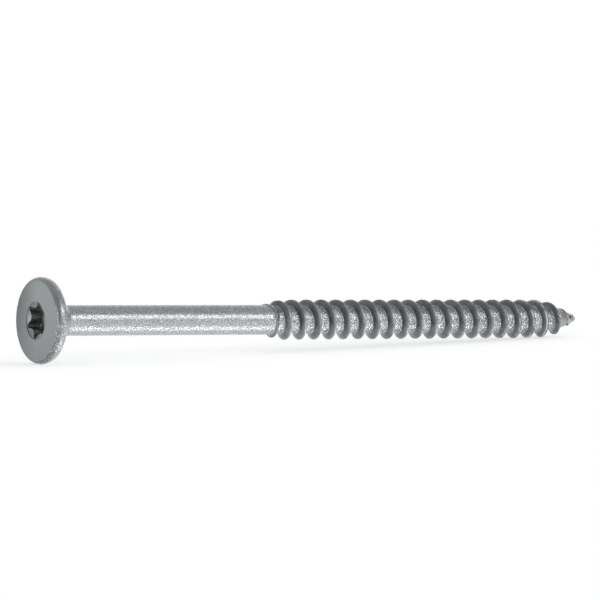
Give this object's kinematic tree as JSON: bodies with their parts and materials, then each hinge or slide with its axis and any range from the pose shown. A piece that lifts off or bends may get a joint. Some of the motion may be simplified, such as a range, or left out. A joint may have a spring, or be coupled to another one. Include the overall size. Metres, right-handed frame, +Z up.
{
  "type": "construction screw",
  "caption": "Long construction screw with a wide flat head, six-lobe drive, plain shank and coarse partial wood thread, in a grey zinc coating.",
  "frame": {"origin": "on the surface that the screw lies on, below the middle of its length", "axes": "+X from the head to the tip, +Z up; the axis of the screw lies in the XZ plane and drops by 2.12 degrees towards the tip, because the head is wider than the thread"},
  "size_m": [0.1226, 0.0156, 0.0157],
  "materials": {
    "zinc": "grey zinc coating, satin, with a fine sparkling grain"
  },
  "bodies": {
    "root": {"screw": "zinc"}
  },
  "joints": []
}
